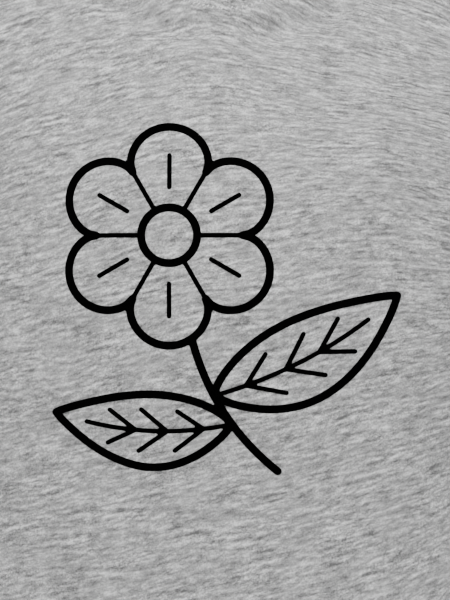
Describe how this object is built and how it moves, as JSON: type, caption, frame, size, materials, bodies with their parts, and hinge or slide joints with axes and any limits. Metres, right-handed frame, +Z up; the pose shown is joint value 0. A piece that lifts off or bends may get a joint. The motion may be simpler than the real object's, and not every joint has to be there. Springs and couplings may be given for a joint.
{
  "type": "crew-neck t-shirt",
  "caption": "Short-sleeved crew-neck jersey top, hollow and filled out as worn, with ribbed neckband, turned hems and a line print on the chest.",
  "frame": {"origin": "midway between the two neck points, where the shoulder seams meet the neckband", "axes": "+Z up, -Y the way the front faces, +X towards the left sleeve"},
  "size_m": [0.7424, 0.2659, 0.7475],
  "materials": {
    "jersey": "soft marl jersey",
    "rib": "soft 1x1 rib",
    "print": "matt screen print",
    "thread": "spun sewing thread"
  },
  "bodies": {
    "root": {"front": "jersey", "back": "jersey", "sleeve_left": "jersey", "sleeve_right": "jersey", "neckband": "rib"}
  },
  "joints": []
}
